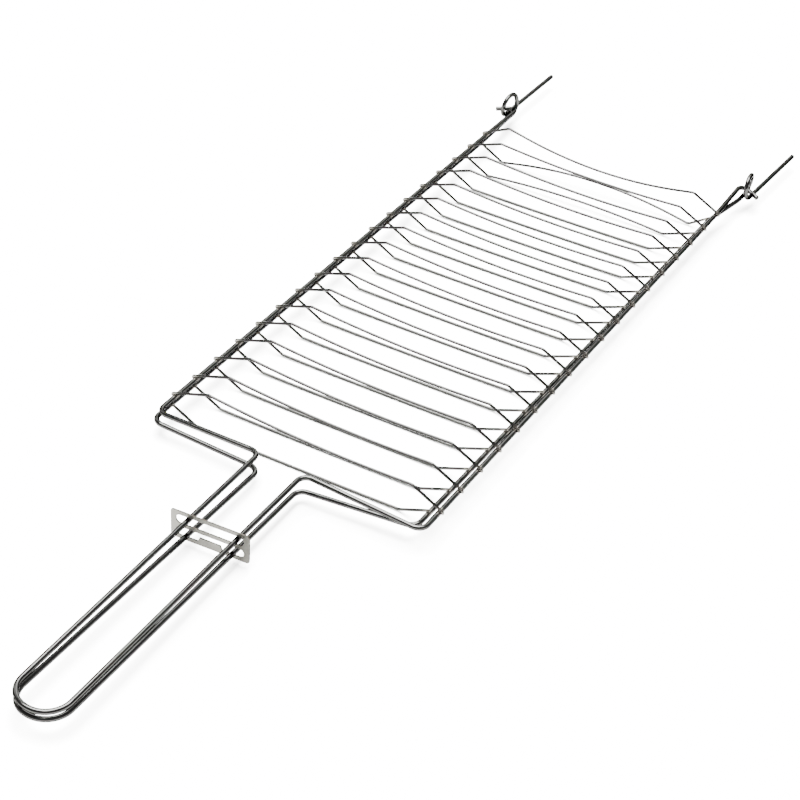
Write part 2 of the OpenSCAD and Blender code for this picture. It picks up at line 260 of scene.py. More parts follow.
class StageSettings(bpy.types.PropertyGroup):
    floor: colour("Floor", "fafaf9", "Colour of the plain pale floor")
    floor_size: length("Floor size", 9000, "Width of the square floor")
    roof_size: metres("Roof light size", (2.2, 1.9), "Width and depth of the light overhead")
    roof_place: metres("Roof light place", (-0.3, 0.1, 2.4), "Where the light overhead hangs")
    side_size: metres("Side light size", (0.7, 2.0), "Width and height of the light on the left")
    side_place: metres("Side light place", (-2.2, 0.2, 1.1), "Where the light on the left stands")
    back_size: metres("Back light size", (2.4, 2.6), "Width and height of the light behind")
    back_place: metres("Back light place", (-0.7, 2.4, 1.9), "Where the light behind stands")
    room_light: amount("Room light", 1.25, "Brightness of the dim room around the lights")
    roof_light: amount("Roof light", 1300, "Power of the large soft light overhead, in watts")
    side_light: amount("Side light", 50, "Power of the soft light on the left, in watts")
    back_light: amount("Back light", 350, "Power of the large soft light behind the grate, in watts")
    view_turn: angle("View turn", 28.26, "How far the camera stands round to the right of the handle")
    view_height: angle("View height", 37.46, "Angle at which the camera looks down")
    view_tilt: angle("View tilt", 4.335, "Tilt of the camera about its line of sight")
    lens: FloatProperty(name="Lens", description="Focal length on a 36 mm wide sensor", default=90.75,
                        min=1, unit="CAMERA")
    camera_x: length("Camera X", 510.86, "Camera's place across the grate")
    camera_y: length("Camera Y", -965.44, "Camera's place along the grate")
    camera_z: length("Camera Z", 808.12, "Camera's height above the floor")


GROUPS = {
    "grate_wire": WireSizes,
    "grate_leaf": LeafSizes,
    "grate_cross": CrossWireSizes,
    "grate_handle": HandleSizes,
    "grate_hinge": HingeSizes,
    "grate_plate": PlateSizes,
    "grate_finish": Finishes,
    "grate_stage": StageSettings,
}


class Layout:
    """Places worked out from the sizes. Heights are counted from the middle of the upper bars."""

    def __init__(self, scene):
        self.wire = wire = scene.grate_wire
        self.leaf = leaf = scene.grate_leaf
        self.cross = cross = scene.grate_cross
        self.handle = handle = scene.grate_handle
        self.hinge = hinge = scene.grate_hinge
        self.plate = scene.grate_plate
        self.bar_x = leaf.bar_span / 2
        self.lower_left_x = self.bar_x - leaf.lower_inset + leaf.lower_offset
        self.lower_right_x = self.bar_x - leaf.lower_inset - leaf.lower_offset
        self.weld_height = (wire.frame_d + wire.cross_d) / 2 - wire.weld_sink
        self.lower_bar_z = -max(self.bar_drop(cross.lower_flat / 2 - cross.lower_shift),
                                self.bar_drop(cross.end_flat / 2))
        self.split_z = -handle.handle_drop
        self.last_wire_y = leaf.wire_pitch * (leaf.wire_count - 1) / 2
        self.front_y = -self.last_wire_y - leaf.front_margin
        self.lower_front_y = self.front_y + leaf.lower_lead
        self.handle_y = self.front_y - handle.handle_len
        self.hinge_y = self.last_wire_y + hinge.hinge_margin
        self.hinge_x = self.bar_x - hinge.hinge_pinch
        self.rod_end_y = self.hinge_y + hinge.rod_len
        self.pin_z = self.lower_bar_z + wire.frame_d + hinge.pin_lift
        swell = wire.bend_swell
        self.turn_step = wire.frame_d + swell + hinge.turn_gap
        floor_z = -cross.lower_drop - cross.lower_bow - (wire.cross_d + swell) / 2
        middle_y = (self.rod_end_y + self.handle_y - (wire.frame_d + swell) / 2) / 2
        self.to_floor = Vector((0, -middle_y, -floor_z))

    def bar_drop(self, x):
        """How far the lower bars hang below the upper ones, for a lower wire whose left knee is at x."""
        clear = (self.wire.frame_d + self.wire.cross_d) / 2 + self.wire.leaf_gap
        inset = self.bar_x - x
        drop = self.cross.lower_drop
        slope = math.atan2(drop, inset) - math.asin(clear / math.hypot(inset, drop))
        outward = self.lower_left_x - self.bar_x
        return (clear + self.weld_height) / math.cos(slope) - outward * math.tan(slope)

    def right_bar(self, y):
        """Where the lower leaf's right bar lies across the grate, at y along it."""
        corner_y = self.lower_front_y + self.cross.lower_skew / 2
        return self.lower_right_x + self.leaf.lower_lean * (y - corner_y) / (self.last_wire_y - corner_y)

    def wire_y(self, number):
        """Where a cross wire lies along the grate; number 1 is the one by the hinge."""
        return self.last_wire_y - self.leaf.wire_pitch * (number - 1)

    def leg(self, side, up):
        """The handle's right or left leg, from the shoulder to the handle's end; up is 1 or -1."""
        handle = self.handle
        x = handle.handle_shift + side * handle.leg_span / 2
        # Only the lower handle's right leg is pinched in
        pinch = handle.root_pinch if side > up else 0
        root_y = self.front_y - handle.root_slant - side * self.leaf.front_skew / 2
        root_z = self.split_z + up * handle.root_split / 2
        end_z = self.split_z + up * handle.end_split / 2
        end_r = handle.leg_span / 2 - HANDLE_SLACK
        return [
            (Vector((x - pinch, root_y, root_z)), handle.root_r),
            (Vector((x, self.handle_y, end_z)), end_r),
        ]

    def upper_side(self, side):
        """One side of the upper frame, from its pin to the handle's end, as points with bend radii."""
        hinge = self.hinge
        lean = math.tan(hinge.pin_lean)
        front = self.front_y - side * self.leaf.front_skew / 2
        return [
            (Vector((side * (self.hinge_x + hinge.eye_reach + hinge.pin_reach),
                     self.hinge_y - hinge.pin_reach * lean, self.pin_z - hinge.pin_dip)), 0),
            (Vector((side * self.hinge_x, self.hinge_y + hinge.eye_reach * lean,
                     self.pin_z + hinge.pin_dip * hinge.eye_reach / hinge.pin_reach)), hinge.pin_r),
            (Vector((side * self.bar_x, self.last_wire_y, 0)), GENTLE_R),
            (Vector((side * self.bar_x, front, 0)), self.leaf.corner_r),
        ] + self.leg(side, 1)

    def lower_side(self, side):
        """One side of the lower frame, from its rest rod through the eye to the handle's end.

        The eye is one full turn of four corners, each a third of the turn's step further in.
        """
        hinge = self.hinge
        eye_x = self.hinge_x + hinge.eye_reach
        inner_x = eye_x - self.turn_step / 2
        outer_x = eye_x + self.turn_step / 2
        low = self.lower_bar_z
        top = low + hinge.eye_d
        back = self.hinge_y + hinge.eye_d / 2
        fore = self.hinge_y - hinge.eye_d / 2
        eye_r = hinge.eye_d / 2 - EYE_SLACK
        corner_y = self.lower_front_y + side * self.cross.lower_skew / 2
        corner_x = self.right_bar(corner_y) if side > 0 else -self.lower_left_x
        last_x = self.right_bar(self.last_wire_y) if side > 0 else -self.lower_left_x
        return [
            (Vector((side * (outer_x + hinge.rod_splay) + hinge.rod_sway, self.rod_end_y, low)), 0),
            (Vector((side * outer_x, fore, low)), eye_r),
            (Vector((side * (eye_x + self.turn_step / 6), fore, top)), eye_r),
            (Vector((side * (eye_x - self.turn_step / 6), back, top)), eye_r),
            (Vector((side * inner_x, back, low)), eye_r),
            (Vector((side * inner_x, fore, low)), FOOT_R),
            (Vector((last_x, self.last_wire_y, low)), GENTLE_R),
            (Vector((corner_x, corner_y, low)), self.leaf.corner_r),
        ] + self.leg(side, -1)

    def wire_tip(self, knee, bar, reach):
        """Where a wire from the knee passes the bar's outer side, welded on top of the bar."""
        run, rise = bar[0] - knee[0], bar[1] - knee[1]
        slope = math.tan(math.atan2(rise, run) + math.asin(self.weld_height / math.hypot(run, rise)))
        return bar[0] + reach, knee[1] + (run + reach) * slope

    def upper_wire(self, number):
        """An upper cross wire's points with bend radii."""
        cross = self.cross
        last = number == 1
        flat = cross.end_flat if last else cross.upper_flat
        shift = 0 if last else cross.upper_shift
        dip = (cross.end_bow if last else cross.upper_bow) / BOW_SHARE
        bow_r = BOW_ROUND * (flat / 2) ** 2 / dip
        left = self.wire_tip((flat / 2 - shift, cross.upper_rise), (self.bar_x, 0), cross.tip_reach)
        right = self.wire_tip((flat / 2 + shift, cross.upper_rise), (self.bar_x, 0), cross.tip_reach)
        tip_r = self.wire.cross_d / 2 + TIP_SLACK
        slope = cross.near_skew / self.leaf.bar_span if number == self.leaf.wire_count else 0
        profile = [
            (-left[0], left[1] - cross.tip_drop, 0),
            (-left[0], left[1], tip_r),
            (shift - flat / 2, cross.upper_rise, cross.knee_r),
            (shift, cross.upper_rise - dip, bow_r),
            (shift + flat / 2, cross.upper_rise, cross.knee_r),
            (right[0], right[1], tip_r),
            (right[0], right[1] - cross.tip_drop, 0),
        ]
        y = self.wire_y(number)
        return [(Vector((x, y + slope * (self.bar_x - x), z)), r) for x, z, r in profile]

    def lower_wire(self, number):
        """A lower cross wire's points with bend radii."""
        cross = self.cross
        last = number == 1
        flat = cross.end_flat if last else cross.lower_flat
        shift = 0 if last else cross.lower_shift
        bow = {1: cross.end_bow, 2: cross.next_bow}.get(number, -cross.lower_bow)
        dip = -bow / BOW_SHARE
        bow_r = BOW_ROUND * (flat / 2) ** 2 / abs(dip)
        drop = -cross.lower_drop
        slope = cross.lower_skew / self.leaf.bar_span
        lag_steps = min(LAG_STEPS, max(0, LAG_WIRES + 1 - number))
        y = self.wire_y(number) + self.leaf.lower_lead - cross.lag_step * lag_steps
        right_x = self.right_bar(y + slope * self.lower_right_x - cross.end_lag)
        low = self.lower_bar_z
        left = self.wire_tip((flat / 2 - shift, drop), (self.lower_left_x, low), cross.lower_reach)
        right = self.wire_tip((flat / 2 + shift, drop), (right_x, low), cross.lower_reach)
        profile = [
            (-left[0], 0, left[1], 0),
            (shift - flat / 2, 0, drop, cross.knee_r),
            (shift, 0, drop - dip, bow_r),
            (shift + flat / 2, 0, drop, cross.knee_r),
            (right[0], -cross.end_lag, right[1], 0),
        ]
        return [(Vector((x, y + slope * x + lag, z)), r) for x, lag, z, r in profile]

    def weld_places(self, level):
        """Where the cross wires of a leaf touch its bars; level is upper or lower."""
        places = []
        for number in range(1, self.leaf.wire_count + 1):
            wire = self.upper_wire(number) if level == "upper" else self.lower_wire(number)
            if level == "upper":
                ends = ((wire[2][0], wire[1][0], -self.bar_x, 0), (wire[-3][0], wire[-2][0], self.bar_x, 0))
            else:
                ends = ((wire[1][0], wire[0][0], -self.lower_left_x, self.lower_bar_z),
                        (wire[-2][0], wire[-1][0], self.right_bar(wire[-1][0].y), self.lower_bar_z))
            for knee, tip, bar_x, bar_z in ends:
                along = (tip - knee) / (tip.x - knee.x)
                bar = Vector((bar_x, 0, bar_z))
                nearest = knee + along * (bar_x - knee.x)
                rise = Vector((1, 0, along.z)).normalized()
                reach = (bar - nearest).dot(rise) * rise.x
                nearest += along * reach
                bar.y = nearest.y
                out = (nearest - bar).normalized()
                places.append(bar + out * (self.wire.frame_d / 2 - self.wire.weld_sink / 2))
        return places


def rounded_path(corners, step):
    """Points along a wire through the corners, rounded at each by its bend radius."""
    path = [corners[0][0]]
    for (before, _), (corner, radius), (after, _) in zip(corners, corners[1:], corners[2:]):
        back, on = (before - corner).normalized(), (after - corner).normalized()
        half = back.angle(on) / 2
        if math.degrees(math.pi / 2 - half) < SMALLEST_BEND:
            continue
        centre = corner + (back + on).normalized() * radius / math.sin(half)
        start = corner + back * radius / math.tan(half) - centre
        axle = start.cross(-back).normalized()
        sweep = math.pi - 2 * half
        steps = max(FEWEST_RINGS, round(math.degrees(sweep) / RING_TURN), round(radius * sweep / (2 * step)))
        path += [centre + Matrix.Rotation(sweep * k / steps, 3, axle) @ start for k in range(steps + 1)]
    path.append(corners[-1][0])
    dense = [path[0]]
    for a, b in zip(path, path[1:]):
        pieces = max(1, math.ceil((b - a).length / step))
        dense += [a.lerp(b, k / pieces) for k in range(1, pieces + 1)]
    return dense


def rounded_ends(path, radius, rounding):
    """The path with extra rings near both ends, and each ring's share of the full thickness."""
    shares = [(0, 1 - rounding / radius), (END_RING, 1 - END_RING * rounding / radius), (1, 1)]
    start, end = path[0], path[-1]
    inward, outward = (path[1] - start).normalized(), (path[-2] - end).normalized()
    rings = [start + inward * rounding * place for place, _ in shares]
    rings += path[1:-1]
    rings += [end + outward * rounding * place for place, _ in reversed(shares)]
    scales = [s for _, s in shares] + [1] * (len(path) - 2) + [s for _, s in reversed(shares)]
    return rings, scales


def fill_inputs(tree, node, inputs):
    """Sets a node's inputs by name or number, or links them where the value is another node's output."""
    for key, value in inputs.items():
        if isinstance(value, bpy.types.NodeSocket):
            tree.links.new(value, node.inputs[key])
        else:
            node.inputs[key].default_value = value


def add_node(tree, kind, inputs=None, output=None, **settings):
    """Adds a node with its settings and links.

    Gives the node's output of that name or number, or the node itself where no output is asked for.
    """
    node = tree.nodes.new(kind)
    for key, value in settings.items():
        setattr(node, key, value)
    fill_inputs(tree, node, inputs or {})
    return node if output is None else node.outputs[output]


def new_geometry_tree(name, sockets):
    """A Geometry Nodes tree with one geometry in and out and the given named inputs."""
    tree = bpy.data.node_groups.new(name, "GeometryNodeTree")
    tree.interface.new_socket("Geometry", in_out="INPUT", socket_type="NodeSocketGeometry")
    tree.interface.new_socket("Geometry", in_out="OUTPUT", socket_type="NodeSocketGeometry")
    for title, kind in sockets:
        tree.interface.new_socket(title, in_out="INPUT", socket_type=f"NodeSocket{kind}")
    given = add_node(tree, "NodeGroupInput").outputs
    end = add_node(tree, "NodeGroupOutput").inputs[0]
    return tree, given, end


def waver_offset(tree, given):
    """A small smooth stray of every wire, the same for all wires at one place."""
    place = add_node(tree, "GeometryNodeInputPosition", output=0)
    scale = add_node(tree, "ShaderNodeMath", {0: 1.0, 1: given["Waver span"]}, output=0, operation="DIVIDE")
    noise = add_node(tree, "ShaderNodeTexNoise", {
        "Vector": place, "Scale": scale, "Detail": 0.0}, output="Color")
    centred = add_node(tree, "ShaderNodeVectorMath", {
        0: noise, 1: (0.5, 0.5, 0.5)}, output=0, operation="SUBTRACT")
    doubled = add_node(tree, "ShaderNodeVectorMath", {
        0: centred, "Scale": 2.0}, output=0, operation="SCALE")
    return add_node(tree, "ShaderNodeVectorMath", {
        0: doubled, "Scale": given["Waver"]}, output=0, operation="SCALE")


def wire_tree():
    """Sweeps a round wire along the edges of a mesh, and keeps its place along and around the wire."""
    tree, given, end = new_geometry_tree("Swept wire", [
        ("Radius", "Float"), ("Sides", "Int"), ("Waver", "Float"), ("Waver span", "Float"),
        ("Weld points", "Object"), ("Weld reach", "Float"), ("Finish", "Material")])
    strayed = add_node(tree, "GeometryNodeSetPosition", {
        "Geometry": given["Geometry"], "Offset": waver_offset(tree, given)}, output=0)
    rail = add_node(tree, "GeometryNodeMeshToCurve", {"Mesh": strayed}, output=0)
    run = add_node(tree, "GeometryNodeSplineParameter", output="Length")
    first = add_node(tree, "GeometryNodeInputNamedAttribute", {
        "Name": "wire_start"}, output="Attribute", data_type="FLOAT")
    placed = add_node(tree, "ShaderNodeMath", {0: run, 1: first}, output=0, operation="ADD")
    rail = add_node(tree, "GeometryNodeStoreNamedAttribute", {
        "Geometry": rail, "Name": "wire_along", "Value": placed}, output=0, data_type="FLOAT",
        domain="POINT")
    ring = add_node(tree, "GeometryNodeCurvePrimitiveCircle", {
        "Resolution": given["Sides"], "Radius": given["Radius"]}, output="Curve")
    on_ring = add_node(tree, "GeometryNodeInputPosition", output=0)
    ring = add_node(tree, "GeometryNodeStoreNamedAttribute", {
        "Geometry": ring, "Name": "wire_round", "Value": on_ring}, output=0, data_type="FLOAT_VECTOR",
        domain="POINT")
    fullness = add_node(tree, "GeometryNodeInputNamedAttribute", {
        "Name": "wire_scale"}, output="Attribute", data_type="FLOAT")
    swept = add_node(tree, "GeometryNodeCurveToMesh", {
        "Curve": rail, "Profile Curve": ring, "Scale": fullness, "Fill Caps": True}, output=0)
    round_place = add_node(tree, "GeometryNodeInputNamedAttribute", {
        "Name": "wire_round"}, output="Attribute", data_type="FLOAT_VECTOR")
    around = add_node(tree, "ShaderNodeSeparateXYZ", {0: round_place}).outputs
    along = add_node(tree, "GeometryNodeInputNamedAttribute", {
        "Name": "wire_along"}, output="Attribute", data_type="FLOAT")
    place = add_node(tree, "ShaderNodeCombineXYZ", {
        "X": around["X"], "Y": around["Y"], "Z": along}, output=0)
    swept = add_node(tree, "GeometryNodeStoreNamedAttribute", {
        "Geometry": swept, "Name": "wire_place", "Value": place}, output=0, data_type="FLOAT_VECTOR",
        domain="POINT")
    welds = add_node(tree, "GeometryNodeObjectInfo", {"Object": given["Weld points"]}, output="Geometry")
    near = add_node(tree, "GeometryNodeProximity", {0: welds}, output="Distance", target_element="POINTS")
    # Nearness to a weld; it pales the plating with a partly painted highlight and makes it rougher
    nearness = add_node(tree, "ShaderNodeMapRange", {
        "Value": near, "From Min": 0.0, "From Max": given["Weld reach"], "To Min": 1.0, "To Max": 0.0},
        output="Result", interpolation_type="SMOOTHSTEP")
    swept = add_node(tree, "GeometryNodeStoreNamedAttribute", {
        "Geometry": swept, "Name": "weld_heat", "Value": nearness}, output=0, data_type="FLOAT", domain="POINT")
    smooth = add_node(tree, "GeometryNodeSetShadeSmooth", {"Geometry": swept}, output=0)
    plain = add_node(tree, "GeometryNodeRealizeInstances", {"Geometry": smooth}, output=0)
    finished = add_node(tree, "GeometryNodeSetMaterial", {
        "Geometry": plain, "Material": given["Finish"]}, output=0)
    tree.links.new(finished, end)
    return tree


def bead_tree():
    """Puts a small uneven bead of weld metal on every point."""
    tree, given, end = new_geometry_tree("Weld beads", [
        ("Across", "Float"), ("Along", "Float"), ("Height", "Float"), ("Unevenness", "Float"),
        ("Lump scale", "Float"), ("Waver", "Float"), ("Waver span", "Float"), ("Seed", "Int"),
        ("Finish", "Material")])
    strayed = add_node(tree, "GeometryNodeSetPosition", {
        "Geometry": given["Geometry"], "Offset": waver_offset(tree, given)}, output=0)
    ball = add_node(tree, "GeometryNodeMeshIcoSphere", {"Radius": 0.5, "Subdivisions": 3}, output="Mesh")
    size = add_node(tree, "ShaderNodeCombineXYZ", {
        "X": given["Across"], "Y": given["Along"], "Z": given["Height"]}, output=0)
    vary = add_node(tree, "FunctionNodeRandomValue", {
        "Min": (0.82, 0.82, 0.85), "Max": (1.08, 1.12, 1.1), "Seed": given["Seed"]}, output="Value",
        data_type="FLOAT_VECTOR")
    scale = add_node(tree, "ShaderNodeVectorMath", {0: size, 1: vary}, output=0, operation="MULTIPLY")
    beads = add_node(tree, "GeometryNodeInstanceOnPoints", {
        "Points": strayed, "Instance": ball, "Scale": scale}, output=0)
    plain = add_node(tree, "GeometryNodeRealizeInstances", {"Geometry": beads}, output=0)
    place = add_node(tree, "GeometryNodeInputPosition", output=0)
    noise = add_node(tree, "ShaderNodeTexNoise", {
        "Vector": place, "Scale": given["Lump scale"], "Detail": 1.0}, output="Color")
    centred = add_node(tree, "ShaderNodeVectorMath", {
        0: noise, 1: (0.5, 0.5, 0.5)}, output=0, operation="SUBTRACT")
    push = add_node(tree, "ShaderNodeVectorMath", {
        0: centred, "Scale": given["Unevenness"]}, output=0, operation="SCALE")
    lumpy = add_node(tree, "GeometryNodeSetPosition", {"Geometry": plain, "Offset": push}, output=0)
    smooth = add_node(tree, "GeometryNodeSetShadeSmooth", {"Geometry": lumpy}, output=0)
    finished = add_node(tree, "GeometryNodeSetMaterial", {
        "Geometry": smooth, "Material": given["Finish"]}, output=0)
    tree.links.new(finished, end)
    return tree


def run_tree(obj, tree, values):
    """Runs a tree on an object, and keeps the result as a plain mesh without the modifier."""
    modifier = obj.modifiers.new(tree.name, "NODES")
    modifier.node_group = tree
    sockets = [item for item in tree.interface.items_tree if item.in_out == "INPUT"]
    identifiers = {socket.name: socket.identifier for socket in sockets}
    for title, value in values.items():
        modifier[identifiers[title]] = value
    bpy.context.view_layer.update()
    depsgraph = bpy.context.evaluated_depsgraph_get()
    mesh = bpy.data.meshes.new_from_object(obj.evaluated_get(depsgraph), preserve_all_data_layers=True,
                                           depsgraph=depsgraph)
    mesh.name = obj.name
    obj.modifiers.remove(modifier)
    obj.data = mesh
    return obj


def link(obj):
    bpy.context.scene.collection.objects.link(obj)
    return obj


def wire_paths(name, wires, scene, radius, rounding):
    """A mesh of edges that follows several wires, with each ring's thickness and start."""
    to_floor = Layout(scene).to_floor
    points, edges, scales, starts = [], [], [], []
    for index, corners in enumerate(wires):
        path = rounded_path(corners, scene.grate_wire.step)
        rings, shares = rounded_ends(path, radius, rounding)
        first = len(points)
        points += [p + to_floor for p in rings]
        edges += [(first + k, first + k + 1) for k in range(len(rings) - 1)]
        scales += shares
        starts += [index * PATTERN_SHIFT] * len(rings)
    mesh = bpy.data.meshes.new(name)
    mesh.from_pydata(points, edges, [])
    mesh.attributes.new("wire_scale", "FLOAT", "POINT").data.foreach_set("value", scales)
    mesh.attributes.new("wire_start", "FLOAT", "POINT").data.foreach_set("value", starts)
    return link(bpy.data.objects.new(name, mesh))


def weld_points(name, scene, level):
    """A mesh with one point for each weld of a leaf."""
    layout = Layout(scene)
    mesh = bpy.data.meshes.new(name)
    mesh.from_pydata([p + layout.to_floor for p in layout.weld_places(level)], [], [])
    return link(bpy.data.objects.new(name, mesh))


def sweep(name, wires, scene, thickness, sides, rounding, level, finish):
    """A swept wire piece on one leaf, finished and made plain."""
    wire = scene.grate_wire
    piece = wire_paths(name, wires, scene, thickness / 2, rounding)
    welds = weld_points(name + "_weld_points", scene, level)
    run_tree(piece, bpy.data.node_groups.get("Swept wire") or wire_tree(), {
        "Radius": thickness / 2, "Sides": sides, "Waver": wire.waver, "Waver span": wire.waver_span,
        "Weld points": welds, "Weld reach": wire.frost_and_highlight_reach, "Finish": finish})
    bpy.data.objects.remove(welds)
    return piece


def new_material(name):
    """A new material, with its tree and its shader."""
    material = bpy.data.materials.new(name)
    material.use_nodes = True
    tree = material.node_tree
    return material, tree, tree.nodes["Principled BSDF"]


def bright_plated_wire(finish, name, plating, extra_rough):
    """Bright plating over drawn steel wire, which gives the eye sharp dark and light lines along it.

    Fine lines from drawing run along the wire, fifty times as long as they are wide. The real ones are
    under a tenth of a millimetre wide, and these are drawn coarser so that they show. Faint stains
    darken the wire in patches of about two centimetres, and tiny specks dull it. Near a weld it is
    rougher and paler: the pale tint is partly frosting and partly a painted highlight that stands in
    for the glints at the welds.
    """
    material, tree, shader = new_material(name)
    place = add_node(tree, "ShaderNodeAttribute", output="Vector", attribute_name="wire_place")
    nearness = add_node(tree, "ShaderNodeAttribute", output="Fac", attribute_name="weld_heat")
    stretched = add_node(tree, "ShaderNodeMapping", {"Vector": place, "Scale": (1, 1, 0.02)}, output=0)
    lines = add_node(tree, "ShaderNodeTexNoise", {
        "Vector": stretched, "Scale": 1 / finish.line_width, "Detail": 3.0}, output=0)
    patches = add_node(tree, "ShaderNodeTexNoise", {
        "Vector": place, "Scale": 1 / finish.stain_size, "Detail": 4.0, "Roughness": 0.6}, output=0)
    specks = add_node(tree, "ShaderNodeTexNoise", {
        "Vector": place, "Scale": 1 / finish.speck_size, "Detail": 2.0}, output=0)
    stained = add_node(tree, "ShaderNodeMapRange", {
        "Value": patches, "From Min": 0.52, "From Max": 0.72, "To Min": 0.0, "To Max": 0.55},
        output="Result")
    clean = add_node(tree, "ShaderNodeMix", {
        0: stained, 6: (*plating, 1), 7: (*finish.stain, 1)}, output=2, data_type="RGBA")
    # Painted highlight: near a weld the plating is mixed towards the pale weld tint, partly frosting too
    frosting_and_highlight_mix = add_node(tree, "ShaderNodeMath", {0: nearness, 1: finish.frost_and_highlight_share}, output=0, operation="MULTIPLY")
    worn = add_node(tree, "ShaderNodeMix", {
        0: frosting_and_highlight_mix, 6: clean, 7: (*finish.weld_frost_and_highlight, 1)}, output=2, data_type="RGBA")
    dulled = add_node(tree, "ShaderNodeMapRange", {
        "Value": patches, "From Min": 0.3, "From Max": 0.7, "To Min": 0.0, "To Max": 0.07}, output="Result")
    pitted = add_node(tree, "ShaderNodeMapRange", {
        "Value": specks, "From Min": 0.55, "From Max": 0.75, "To Min": 0.0, "To Max": 0.08}, output="Result")
    frosted = add_node(tree, "ShaderNodeMath", {
        0: nearness, 1: finish.heat_rough}, output=0, operation="MULTIPLY")
    rough = add_node(tree, "ShaderNodeMath", {
        0: dulled, 1: finish.wire_rough + extra_rough}, output=0, operation="ADD")
    rough = add_node(tree, "ShaderNodeMath", {0: rough, 1: pitted}, output=0, operation="ADD")
    rough = add_node(tree, "ShaderNodeMath", {0: rough, 1: frosted}, output=0, operation="ADD")
    bump = add_node(tree, "ShaderNodeBump", {
        "Height": lines, "Strength": 0.5, "Distance": finish.line_depth}, output=0)
    fill_inputs(tree, shader, {
        "Base Color": worn, "Roughness": rough, "Normal": bump, "Metallic": 1,
        "Specular Tint": (*[finish.edge_sheen] * 3, 1)})
    return material


def dull_weld_metal(finish):
    """Spot weld metal under the plating, which gives the eye small pale dots with a coarse dull grain.
    The pale colour is partly a painted highlight that stands in for the glints on the welds.
    """
    material, tree, shader = new_material("dull_weld_metal")
    place = add_node(tree, "ShaderNodeTexCoord", output="Object")
    grain = add_node(tree, "ShaderNodeTexNoise", {
        "Vector": place, "Scale": 1 / finish.weld_grain, "Detail": 3.0}, output=0)
    raised = add_node(tree, "ShaderNodeMapRange", {
        "Value": grain, "From Min": 0.35, "From Max": 0.7, "To Min": 0.0, "To Max": 1.0}, output="Result")
    # Painted highlight: the bead is pale partly to stand in for the glints on the welds
    tint = add_node(tree, "ShaderNodeMix", {
        0: raised, 6: (*finish.weld_bead_and_highlight, 1), 7: (*finish.weld_frost_and_highlight, 1)}, output=2, data_type="RGBA")
    rough = add_node(tree, "ShaderNodeMapRange", {
        "Value": grain, "From Min": 0.3, "From Max": 0.7, "To Min": 0.2, "To Max": 0.42}, output="Result")
    bump = add_node(tree, "ShaderNodeBump", {
        "Height": grain, "Strength": 0.4, "Distance": finish.weld_depth}, output=0)
    fill_inputs(tree, shader, {"Base Color": tint, "Roughness": rough, "Normal": bump, "Metallic": 1})
    return material


def satin_stamped_sheet(finish, turn):
    """Satin plated steel sheet, which gives the eye a soft sheen with a fine grain along its width.

    The real grain is finer, and is drawn coarser so that it shows. Stained and rubbed patches of some
    eight millimetres lie over it.
    """
    material, tree, shader = new_material("satin_stamped_sheet")
    place = add_node(tree, "ShaderNodeTexCoord", output="Object")
    turned = add_node(tree, "ShaderNodeMapping", {"Vector": place, "Rotation": (0, 0, -turn)}, output=0)
    drawn = add_node(tree, "ShaderNodeMapping", {"Vector": turned, "Scale": (0.04, 1, 1)}, output=0)
    grain = add_node(tree, "ShaderNodeTexNoise", {
        "Vector": drawn, "Scale": 1 / finish.grain_width, "Detail": 3.0}, output=0)
    patches = add_node(tree, "ShaderNodeTexNoise", {
        "Vector": turned, "Scale": 1 / finish.patch_size, "Detail": 5.0, "Roughness": 0.62}, output=0)
    stained = add_node(tree, "ShaderNodeMapRange", {
        "Value": patches, "From Min": 0.5, "From Max": 0.75, "To Min": 0.0, "To Max": 0.7}, output="Result")
    tint = add_node(tree, "ShaderNodeMix", {
        0: stained, 6: (*finish.sheet, 1), 7: (*finish.sheet_stain, 1)}, output=2, data_type="RGBA")
    rubbed = add_node(tree, "ShaderNodeMapRange", {
        "Value": patches, "From Min": 0.3, "From Max": 0.7, "To Min": -0.06, "To Max": 0.08},
        output="Result")
    brushed = add_node(tree, "ShaderNodeMapRange", {
        "Value": grain, "From Min": 0.3, "From Max": 0.7, "To Min": -0.05, "To Max": 0.05}, output="Result")
    rough = add_node(tree, "ShaderNodeMath", {
        0: rubbed, 1: finish.sheet_rough}, output=0, operation="ADD")
    rough = add_node(tree, "ShaderNodeMath", {0: rough, 1: brushed}, output=0, operation="ADD")
    bump = add_node(tree, "ShaderNodeBump", {
        "Height": grain, "Strength": 0.45, "Distance": finish.grain_depth}, output=0)
    fill_inputs(tree, shader, {"Base Color": tint, "Roughness": rough, "Normal": bump, "Metallic": 1})
    return material


def sheared_sheet_edge(finish):
    """The plate's cut steel edges, which give the eye a dark line with the marks of the shear."""
    material, tree, shader = new_material("sheared_sheet_edge")
    place = add_node(tree, "ShaderNodeTexCoord", output="Object")
    grain = add_node(tree, "ShaderNodeTexNoise", {
        "Vector": place, "Scale": 1 / finish.shear_size, "Detail": 3.0}, output=0)
    torn = add_node(tree, "ShaderNodeMapRange", {
        "Value": grain, "From Min": 0.35, "From Max": 0.7, "To Min": 0.0, "To Max": 1.0}, output="Result")
    tint = add_node(tree, "ShaderNodeMix", {
        0: torn, 6: (*finish.cut_edge, 1), 7: (*finish.sheet_stain, 1)}, output=2, data_type="RGBA")
    rough = add_node(tree, "ShaderNodeMapRange", {
        "Value": grain, "From Min": 0.3, "From Max": 0.7, "To Min": 0.3, "To Max": 0.5}, output="Result")
    fill_inputs(tree, shader, {
        "Base Color": tint, "Roughness": rough, "Metallic": 1,
        "Specular Tint": (*[finish.edge_sheen] * 3, 1)})
    return material


def pale_floor(stage):
    """Matte pale paint, which gives the eye an even ground that only soft shadows mark."""
    material, tree, shader = new_material("matte_pale_floor")
    fill_inputs(tree, shader, {"Base Color": (*stage.floor, 1), "Roughness": 0.85})
    return material


